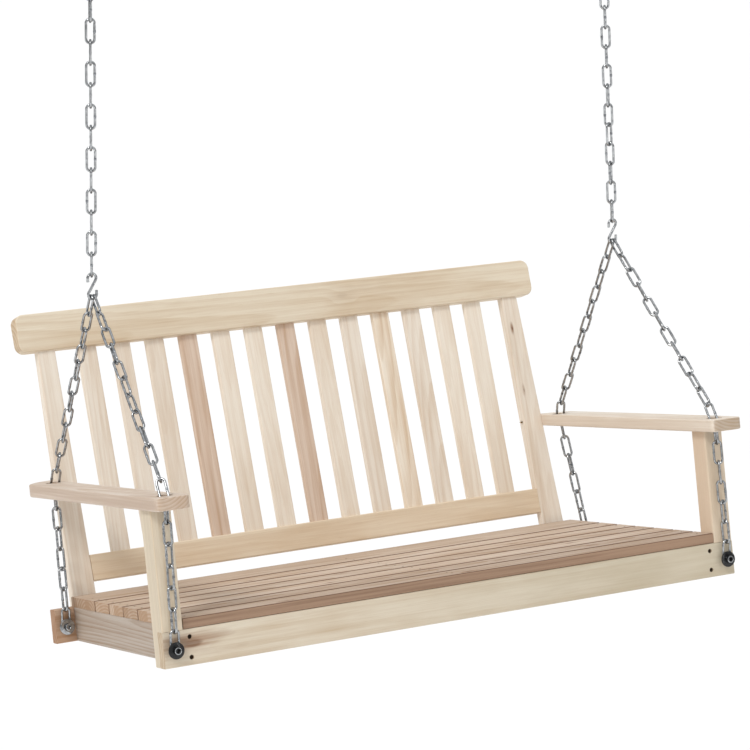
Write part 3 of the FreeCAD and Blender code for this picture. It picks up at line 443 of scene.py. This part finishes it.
def metal(name, colour, shade, smooth, rim_shade_reach, grain_scale=900.0, bump=0.12):
    """Plated steel: colour and gloss vary in small cloudy patches, with fine scratches."""
    shader = Shader(name)
    place = shader.coordinates.outputs["Object"]
    patches = shader.noise(place, 160.0, 3.0, 0.6)
    specks = shader.noise(place, grain_scale, 2.0, 0.6)
    scratch = shader.noise(shader.vector("MULTIPLY", place, (300.0, 1500.0, 2600.0)), 1.0, 1.0)
    tone = shader.maths("ADD", shader.spread(patches, 0.35, 0.75, 0.0, 0.7),
                        shader.spread(specks, 0.55, 0.8, 0.0, 0.5), clamp=True)
    shader.feed(shader.surface.inputs["Base Color"], shader.mix(tone, colour, shade))
    shader.surface.inputs["Metallic"].default_value = 1.0
    shader.surface.inputs["Specular Tint"].default_value = EDGE_TINT
    rough = shader.spread(patches, 0.3, 0.75, smooth, rim_shade_reach)
    rough = shader.maths("ADD", rough, shader.spread(scratch, 0.55, 0.8, 0.0, 0.12))
    shader.feed(shader.surface.inputs["Roughness"], rough)
    shader.bump(shader.maths("ADD", specks, scratch), bump, 0.0001)
    return shader.material


def black_gloss():
    """Glossy black plating with faint swirl marks and dust."""
    shader = Shader("black_plating")
    place = shader.coordinates.outputs["Object"]
    cloud = shader.noise(place, 220.0, 3.0, 0.6)
    dust = shader.noise(place, 2400.0, 2.0, 0.7)
    colour = shader.mix(shader.spread(dust, 0.6, 0.8, 0.0, 0.5), srgb(14, 15, 17), srgb(70, 72, 76))
    shader.feed(shader.surface.inputs["Base Color"], colour)
    shader.feed(shader.surface.inputs["Roughness"], shader.spread(cloud, 0.3, 0.75, 0.16, 0.34))
    shader.surface.inputs["Specular IOR Level"].default_value = 0.4
    shader.surface.inputs["Coat Weight"].default_value = 0.15
    shader.surface.inputs["Coat Roughness"].default_value = 0.1
    shader.bump(dust, 0.05, 0.0001)
    return shader.material


ZINC = metal("bright_zinc", srgb(186, 188, 190), srgb(96, 98, 100), 0.08, 0.2)
WELD = metal("weld_bead", srgb(160, 164, 168), srgb(78, 78, 82), 0.25, 0.45, 1400.0, 0.4)
BLACK = black_gloss()
DARK_STEEL = metal("dark_phosphate", srgb(74, 62, 52), srgb(40, 34, 30), 0.42, 0.62)
BRASSY = metal("yellow_zinc", srgb(138, 106, 58), srgb(66, 50, 32), 0.3, 0.5)

# ------------------------------------------------------------------------------------------------
# Turned and threaded shapes. Each is a list of rings, from the head end to the tail along +Z.
# ------------------------------------------------------------------------------------------------

SEGMENTS = 48
TURN = [2 * math.pi * i / SEGMENTS for i in range(SEGMENTS)]


def hexagon(flats):
    """Radius of a hexagon, by angle."""
    def radius(angle):
        return flats / 2 / math.cos(angle % (math.pi / 3) - math.pi / 6)
    return radius


def cross(reach, width):
    """Radius of a cross-shaped driver recess, by angle."""
    def radius(angle):
        turn = abs(math.sin(angle)), abs(math.cos(angle))
        arm = width / 2 / max(min(turn), width / 2 / reach)
        return min(reach, max(arm, width * 0.75))
    return radius


def ring(z, radius):
    size = radius if callable(radius) else lambda angle: radius
    return [(size(angle) * math.cos(angle), size(angle) * math.sin(angle), z) for angle in TURN]


def turned(profile):
    """Rings of a turned shape: profile is a list of (z, radius), radius a number or a function."""
    return [ring(z, radius) for z, radius in profile]


def threaded(start, length, root, crest, pitch, point=0.0):
    """Rings of a screw thread, tapering to a point over its last stretch."""
    steps = 8
    count = int(length / pitch * steps)
    rings = []
    for i in range(count + 1):
        along = length * i / count
        left = length - along
        share = min(1.0, left / point) if point else 1.0

        def radius(angle, along=along, share=share):
            phase = (along / pitch - angle / (2 * math.pi)) % 1.0
            ridge = 1 - min(1.0, abs(phase - 0.5) * 4)
            return max(root * share + (crest - root) * ridge * min(1.0, share * 1.6), 0.0001)

        rings.append(ring(start + along, radius))
    return rings


def shell(rings, lined):
    """Points, faces and face materials of a closed shape given as rings.

    The first lined bands, from the start, have material 1. A shape whose last ring repeats its
    first is joined without ends.
    """
    looped = rings[0] == rings[-1]
    if looped:
        rings = rings[:-1]
    size, count = len(rings[0]), len(rings)
    points = [Vector(p) for one in rings for p in one]
    faces, marks = [], []
    for i in range(count if looped else count - 1):
        for j in range(size):
            after = (j + 1) % size
            far = (i + 1) % count * size
            faces.append((i * size + j, i * size + after, far + after, far + j))
        marks += [1 if i < lined else 0] * size
    if not looped:
        for end, row in ((0, rings[0]), (count - 1, rings[-1])):
            points.append(sum((Vector(p) for p in row), Vector()) / size)
            for j in range(size):
                a, b = end * size + j, end * size + (j + 1) % size
                faces.append((b, a, len(points) - 1) if end == 0 else (a, b, len(points) - 1))
            marks += [1 if lined and end == 0 else 0] * size
    return points, faces, marks


def build(name, body, pieces, materials, sharp=35, lined=0):
    """One mesh from pieces of (rings, placement matrix), riding on its body."""
    points, faces, marks = [], [], []
    for rings, matrix in pieces:
        new_points, new_faces, new_marks = shell(rings, lined)
        base = len(points)
        points += [matrix @ p for p in new_points]
        faces += [tuple(base + i for i in face) for face in new_faces]
        marks += new_marks
    mesh = bpy.data.meshes.new(name)
    mesh.from_pydata(points, [], faces)
    for material in materials:
        mesh.materials.append(material)
    mesh.polygons.foreach_set("material_index", marks)
    mesh.update()
    mesh.shade_smooth()
    mesh.set_sharp_from_angle(angle=math.radians(sharp))
    piece = bpy.data.objects.new(name, mesh)
    bpy.context.scene.collection.objects.link(piece)
    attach(piece, body)
    return piece


def solids(node):
    """Vertices of each separate solid of a CAD node."""
    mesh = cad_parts[node].data
    points = np.array([v.co for v in mesh.vertices])
    _, same = np.unique(np.round(points, 6), axis=0, return_inverse=True)
    same = same.reshape(-1)
    edges = same[np.array([e.vertices for e in mesh.edges])]
    label = np.arange(same.max() + 1)
    while True:
        low = np.minimum(label[edges[:, 0]], label[edges[:, 1]])
        lower = label.copy()
        np.minimum.at(lower, edges[:, 0], low)
        np.minimum.at(lower, edges[:, 1], low)
        lower = lower[lower]
        if (lower == label).all():
            break
        label = lower
    owner = label[same]
    return [points[owner == one] for one in np.unique(owner)]


def seat_of(points, axis):
    """Placement with its origin where the solid begins along the axis, and +Z along the axis."""
    z = np.array(axis)
    along = points @ z
    side = Vector(axis).orthogonal().normalized()
    other = Vector(axis).cross(side)
    place = Vector(axis) * along.min()
    for direction in (side, other):
        reach = points @ np.array(direction)
        place += direction * (reach.min() + reach.max()) / 2
    turn = Matrix((side, other, Vector(axis))).transposed().to_4x4()
    return Matrix.Translation(place) @ turn, float(along.max() - along.min())


# ------------------------------------------------------------------------------------------------
# Bolts, washers, nuts, screws and nails
# ------------------------------------------------------------------------------------------------

BOLT = {"radius": 4 * MM, "head": 6.5 * MM, "height": 8 * MM, "socket": 6 * MM, "depth": 4 * MM,
        "pitch": 1.25 * MM}
WASHER = {"outer": 15 * MM, "inner": 4.1 * MM, "thickness": 2.5 * MM}
NUT_WASHER = {"outer": 8 * MM, "inner": 4.1 * MM, "thickness": 1.6 * MM}
NUT = {"flats": 13 * MM, "height": 6.5 * MM}


def knurl(radius):
    """Radius of a knurled head, by angle."""
    return lambda angle: radius - 0.12 * MM * (0.5 + 0.5 * math.cos(24 * angle))


def socket_bolt(length):
    """Socket-head bolt with a knurled head, from the head's face at z = 0.

    It starts with the rings of the socket's lining.
    """
    head, height, radius = BOLT["head"], BOLT["height"], BOLT["radius"]
    socket = hexagon(BOLT["socket"])
    thread_start = height + 0.6 * length
    outside = turned([(BOLT["depth"], socket), (0.2 * MM, socket),
                      (0, hexagon(BOLT["socket"] + 0.4 * MM)), (0, head - 1.7 * MM),
                      (0, head - 0.9 * MM), (0.25 * MM, head - 0.35 * MM), (0.9 * MM, head),
                      (1.1 * MM, knurl(head)), (height - 0.5 * MM, knurl(head)),
                      (height - 0.3 * MM, head), (height, head - 0.2 * MM), (height, radius),
                      (thread_start, radius)])
    thread = threaded(thread_start, length - height - 0.6 * length - 0.8 * MM, radius - 0.6 * MM,
                      radius, BOLT["pitch"])
    return outside + thread + turned([(length, radius - 1.1 * MM)])


def rim_washer(size):
    """Flat washer with rounded rims, from z = 0."""
    outer, inner, thick = size["outer"], size["inner"], size["thickness"]
    soft = 0.3 * thick
    nick = 0.3 * soft
    loop = [(soft, outer), (nick, outer - nick), (0, outer - soft), (0, inner + nick),
            (nick, inner), (thick - nick, inner), (thick, inner + nick), (thick, outer - soft),
            (thick - nick, outer - nick), (thick - soft, outer)]
    return turned(loop + loop[:1])


def hexagon_nut():
    """Nut with both faces chamfered round, from z = 0."""
    flats, height = NUT["flats"], NUT["height"]
    six = hexagon(flats)
    round_face = flats / 2 * 0.97

    def chamfered(depth):
        return lambda angle: min(six(angle), round_face + depth * 1.9)

    depths = [0.0, 0.15 * MM, 0.3 * MM, 0.5 * MM, 0.8 * MM]
    lower = [(d, chamfered(d)) for d in depths]
    upper = [(height - d, chamfered(d)) for d in reversed(depths)]
    inner = [(height, BOLT["radius"] + 0.5 * MM), (height - 0.5 * MM, BOLT["radius"] + 0.05 * MM),
             (0.5 * MM, BOLT["radius"] + 0.05 * MM), (0, BOLT["radius"] + 0.5 * MM)]
    return turned(lower + upper + inner + lower[:1])


def wood_screw(length, head, head_height, root, crest, pitch, driver):
    """Countersunk wood screw with a cross recess, from its head's face at z = 0."""
    recess = cross(driver, 0.32 * driver)
    small = cross(driver * 0.55, 0.3 * driver)
    top = turned([(head_height * 0.7, small), (0, recess), (0, head - 0.25 * MM), (0.3 * MM, head),
                  (head_height, crest * 0.9)])
    plain = turned([(length * 0.3, root + 0.1 * MM)])
    return top + plain + threaded(length * 0.3, length * 0.7, root, crest, pitch, point=4 * crest)


def replace_fasteners():
    """Detailed fasteners in the places of the plain CAD ones."""
    inward, outward = BACKWARD, -BACKWARD

    def swap(node, axis, shape, materials, lined=0):
        pieces = []
        for points in solids(node):
            direction = axis(points) if callable(axis) else axis
            seat, length = seat_of(points, direction)
            pieces.append((shape(length), seat))
        piece = build(node + "_detailed", "seat", pieces, materials, lined=lined)
        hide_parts(node)

    swap("front_chain_bolts", inward, socket_bolt, [ZINC, BLACK], lined=3)
    swap("rear_chain_bolts", inward, socket_bolt, [ZINC, WELD], lined=1)
    swap("front_chain_washers", inward, lambda length: rim_washer(WASHER), [BLACK])
    swap("rear_chain_washers", inward, lambda length: rim_washer(WASHER), [ZINC])
    swap("nut_washers", inward, lambda length: rim_washer(NUT_WASHER), [ZINC])
    swap("chain_bolt_nuts", inward, lambda length: hexagon_nut(), [ZINC])

    def frame_screw(length):
        return wood_screw(length, 4.2 * MM, 3 * MM, 1.5 * MM, 2.2 * MM, 1.9 * MM, 2.4 * MM)

    swap("apron_screws", inward, frame_screw, [DARK_STEEL])
    swap("rear_rail_screws", outward, frame_screw, [DARK_STEEL])
    swap("stile_foot_screws", outward, frame_screw, [DARK_STEEL])

    def to_middle(points):
        return -ACROSS if points[:, 0].mean() > 0 else ACROSS

    def arm_screw(length):
        return wood_screw(length, 5.2 * MM, 3 * MM, 2.1 * MM, 3 * MM, 2.4 * MM, 3 * MM)

    swap("armrest_screws", to_middle, arm_screw, [BRASSY])

    def nail(length):
        radius, head = 1.1 * MM, 2.2 * MM
        return turned([(0.12 * MM, 0.4 * MM), (0.05 * MM, head * 0.7), (0.2 * MM, head - 0.1 * MM),
                       (0.5 * MM, head), (0.9 * MM, head - 0.1 * MM), (1.0 * MM, radius),
                       (length - 3 * MM, radius), (length, 0.15 * MM)])

    swap("seat_slat_nails", -UPWARD, nail, [DARK_STEEL])


# ------------------------------------------------------------------------------------------------
# Chains and hooks
# ------------------------------------------------------------------------------------------------

CHAINS = {"front_leg_left": "seat", "front_leg_right": "seat", "rear_leg_left": "seat",
          "rear_leg_right": "seat", "upper_chain_left": "hanger_left",
          "upper_chain_right": "hanger_right", "top_link_left": "swing_links",
          "top_link_right": "swing_links"}
LINK_WIRE = 2.25 * MM
BEAD = {"length": 5.5 * MM, "proud": 0.35 * MM, "rings": 9}


def weld_beads():
    """A bead round one straight side of every link, where its wire was welded shut."""
    luck = random.Random(5)
    for node, body in CHAINS.items():
        dress(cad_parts[node], ZINC)
        beads = []
        for points in solids(node):
            middle = Vector(points.mean(0))
            _, _, axes = np.linalg.svd(points - points.mean(0), full_matrices=False)
            long_way, wide = Vector(axes[0]), Vector(axes[1])
            reach = points @ axes[1]
            side = luck.choice((-1, 1))
            out = wide * side * ((reach.max() - reach.min()) / 2 - LINK_WIRE)
            turn = Matrix((wide, long_way.cross(wide), long_way)).transposed().to_4x4()
            shift = long_way * luck.uniform(-1.0, 1.0) * MM
            beads.append((bead(luck), Matrix.Translation(middle + out + shift) @ turn))
        build(node + "_welds", body, beads, [WELD], sharp=60)


def bead(luck):
    """Rings of one bead: a lumpy sleeve with a ridge at its middle."""
    rings = []
    lumps = [luck.uniform(0.75, 1.1) for _ in range(6)]
    for i in range(BEAD["rings"]):
        share = i / (BEAD["rings"] - 1)
        height = math.sin(math.pi * share) ** 0.8

        def radius(angle, height=height):
            lump = lumps[int(angle / (2 * math.pi) * len(lumps)) % len(lumps)]
            return LINK_WIRE - 0.02 * MM + BEAD["proud"] * height * lump

        rings.append(ring((share - 0.5) * BEAD["length"], radius)[::3])
    return rings


HOOK = {"wire": 4 * MM, "bowl": 15 * MM, "neck": 6 * MM, "drop": 50 * MM, "mouth": math.radians(35),
        "screw": 60 * MM, "point": 6 * MM, "collar": 10 * MM, "collar_depth": 2 * MM,
        "plain": 9 * MM}
# Rings that round off a wire's end: how far back and how wide, as shares of its radius
ROUND_END = ((0.6, 1.0), (0.25, 0.85), (0.0, 0.5))


def hook_path():
    """Middle line of a ceiling hook in the x-z plane, from its shank round its bowl to its mouth."""
    neck, bowl = HOOK["neck"], HOOK["bowl"]
    middle = bowl - HOOK["drop"]
    top = middle + bowl + neck
    path = [(neck, 0.0)]
    for i in range(9):
        angle = math.pi / 2 * i / 8
        path.append((neck * math.cos(angle), top - neck * math.sin(angle)))
    sweep = math.pi * 1.5 + HOOK["mouth"]
    for i in range(1, 41):
        angle = math.pi / 2 + sweep * i / 40
        path.append((bowl * math.cos(angle), middle + bowl * math.sin(angle)))
    return path


def bent_wire(path, radius):
    """Rings round a path in the x-z plane, with a rounded far end."""
    rings = []
    count = len(path)
    for i, (x, z) in enumerate(path):
        ahead, behind = path[min(i + 1, count - 1)], path[max(i - 1, 0)]
        along = Vector((ahead[0] - behind[0], 0, ahead[1] - behind[1])).normalized()
        side = Vector((-along.z, 0, along.x))
        steps = ((0.0, 1.0),) if i < count - 1 else ROUND_END
        for back, share in steps:
            middle = Vector((x, 0, z)) - along * back * radius
            rings.append([middle + (side * math.cos(a) + Vector((0, 1, 0)) * math.sin(a))
                          * radius * share for a in TURN[::2]])
    return rings


def forge_ceiling_hooks():
    """Screw hooks: a bent bowl, a collar against the ceiling and a wood thread above it."""
    for side, sign in (("left", -1), ("right", 1)):
        node = "ceiling_hook_" + side
        low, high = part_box(node)
        # the collar is centred on the shank, and is the widest thing beyond it on the outer side
        outer = high.x if sign > 0 else -low.x
        middle = outer - max(HOOK["neck"] + HOOK["collar"], HOOK["bowl"] + HOOK["wire"])
        flip = Matrix.Scale(sign, 4, (1, 0, 0))
        place = Matrix.Translation((sign * middle, 0, 0)) @ flip
        shank = Matrix.Translation((sign * (middle + HOOK["neck"]), 0, 0))
        wire, collar, depth = HOOK["wire"], HOOK["collar"], HOOK["collar_depth"]
        disc = turned([(-depth, wire), (-depth, collar - 0.6 * MM), (-depth + 0.5 * MM, collar),
                       (-0.4 * MM, collar), (0, collar - 0.4 * MM), (0, wire)])
        plain = HOOK["plain"]
        smooth = turned([(-0.1 * MM, wire), (plain - MM, wire), (plain, wire * 0.78)])
        thread = threaded(plain, HOOK["screw"] + HOOK["point"] - plain, wire * 0.72, wire, 3.2 * MM,
                          point=14 * MM)
        pieces = [(bent_wire(hook_path(), wire), place), (disc, shank), (smooth + thread, shank)]
        piece = build(node + "_forged", "ceiling", pieces, [ZINC])
        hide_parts(node)


def dress_s_hooks():
    for side in ("left", "right"):
        dress(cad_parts["s_hook_" + side], ZINC)


# ------------------------------------------------------------------------------------------------
# Studio
# ------------------------------------------------------------------------------------------------

FLOOR_DROP = 1.1
FLOOR_SIZE = 60.0
FLOOR_COLOUR = (0.95, 0.95, 0.95, 1.0)
FLOOR_GLOW = 0.03
# The horizon: how often light and dark stretches alternate, and their brightness
PANELS = 7.0
PANEL_SWING = 0.42
PANEL_LEVEL = 0.43
SKY = (0.98, 0.99, 1.0, 1.0)
BACKDROP = (1.1, 1.1, 1.1, 1.0)
WORLD_STRENGTH = 0.86
# Heights, as the rise of a direction, over which the horizon gives way to the sky
HORIZON_TOP, SKY_START = 0.16, 0.5
SUN = {"strength": 1.15, "angle": math.radians(16), "colour": (1.0, 0.985, 0.96),
       "direction": Vector((0.8, 0.4, -0.95))}


def make_floor():
    """Plain pale floor below the hanging seat."""
    mesh = bpy.data.meshes.new("floor")
    half = FLOOR_SIZE / 2
    height = cad_low.z - FLOOR_DROP
    mesh.from_pydata([(-half, -half, height), (half, -half, height), (half, half, height),
                      (-half, half, height)], [], [(0, 1, 2, 3)])
    shader = Shader("floor")
    shader.surface.inputs["Base Color"].default_value = FLOOR_COLOUR
    shader.surface.inputs["Roughness"].default_value = 0.9
    shader.surface.inputs["Emission Color"].default_value = WHITE
    shader.surface.inputs["Emission Strength"].default_value = FLOOR_GLOW
    mesh.materials.append(shader.material)
    floor = bpy.data.objects.new("floor", mesh)
    bpy.context.scene.collection.objects.link(floor)


def area_light(name, place, size, power):
    """Rectangular lamp that faces the seat."""
    data = bpy.data.lights.new(name, "AREA")
    data.shape = "RECTANGLE"
    data.size, data.size_y = size
    data.energy = power
    light = bpy.data.objects.new(name, data)
    light.location = place
    light.rotation_euler = (CAMERA_AIM - Vector(place)).to_track_quat("-Z", "Y").to_euler()
    bpy.context.scene.collection.objects.link(light)


def make_world():
    """Bright sky over a horizon of light and dark stretches, so that metal has contrast.

    The lens sees a plain pale backdrop instead of the stretches.
    """
    world = bpy.data.worlds.new("studio")
    world.use_nodes = True
    tree = world.node_tree
    background = next(n for n in tree.nodes if n.type == "BACKGROUND")
    coordinates = tree.nodes.new("ShaderNodeTexCoord")
    split = tree.nodes.new("ShaderNodeSeparateXYZ")
    tree.links.new(coordinates.outputs["Generated"], split.inputs[0])

    def step(operation, *values):
        maths = tree.nodes.new("ShaderNodeMath")
        maths.operation = operation
        for socket, value in zip(maths.inputs, values):
            if isinstance(value, float):
                socket.default_value = value
            else:
                tree.links.new(value, socket)
        return maths.outputs[0]

    def mixed(factor, low, high):
        blend = tree.nodes.new("ShaderNodeMix")
        blend.data_type = "RGBA"
        tree.links.new(factor, blend.inputs[0])
        for socket, value in ((blend.inputs[6], low), (blend.inputs[7], high)):
            if isinstance(value, tuple):
                socket.default_value = value
            else:
                tree.links.new(value, socket)
        return blend.outputs[2]

    around = step("ARCTAN2", split.outputs[1], split.outputs[0])
    panels = step("SINE", step("MULTIPLY", around, PANELS))
    light = step("MULTIPLY_ADD", panels, PANEL_SWING, PANEL_LEVEL)
    height = tree.nodes.new("ShaderNodeMapRange")
    height.interpolation_type = "SMOOTHSTEP"
    height.inputs["From Min"].default_value = HORIZON_TOP
    height.inputs["From Max"].default_value = SKY_START
    tree.links.new(split.outputs[2], height.inputs["Value"])
    surroundings = mixed(height.outputs[0], light, SKY)
    seen = tree.nodes.new("ShaderNodeLightPath").outputs["Is Camera Ray"]
    tree.links.new(mixed(seen, surroundings, BACKDROP), background.inputs[0])
    background.inputs[1].default_value = WORLD_STRENGTH
    bpy.context.scene.world = world


def make_studio():
    make_floor()
    make_world()
    sun = bpy.data.lights.new("sun", "SUN")
    sun.energy = SUN["strength"]
    sun.angle = SUN["angle"]
    sun.color = SUN["colour"]
    lamp = bpy.data.objects.new("sun", sun)
    lamp.rotation_euler = SUN["direction"].to_track_quat("-Z", "Y").to_euler()
    bpy.context.scene.collection.objects.link(lamp)
    area_light("strip_left", (-3.6, -2.2, -0.6), (0.16, 2.6), 6)
    area_light("strip_right", (1.6, -4.2, -0.4), (0.2, 2.6), 9)


# ------------------------------------------------------------------------------------------------
# Build
# ------------------------------------------------------------------------------------------------

bpy.context.scene.view_settings.view_transform = "Standard"
make_studio()
wooden_boards()
replace_fasteners()
weld_beads()
forge_ceiling_hooks()
dress_s_hooks()
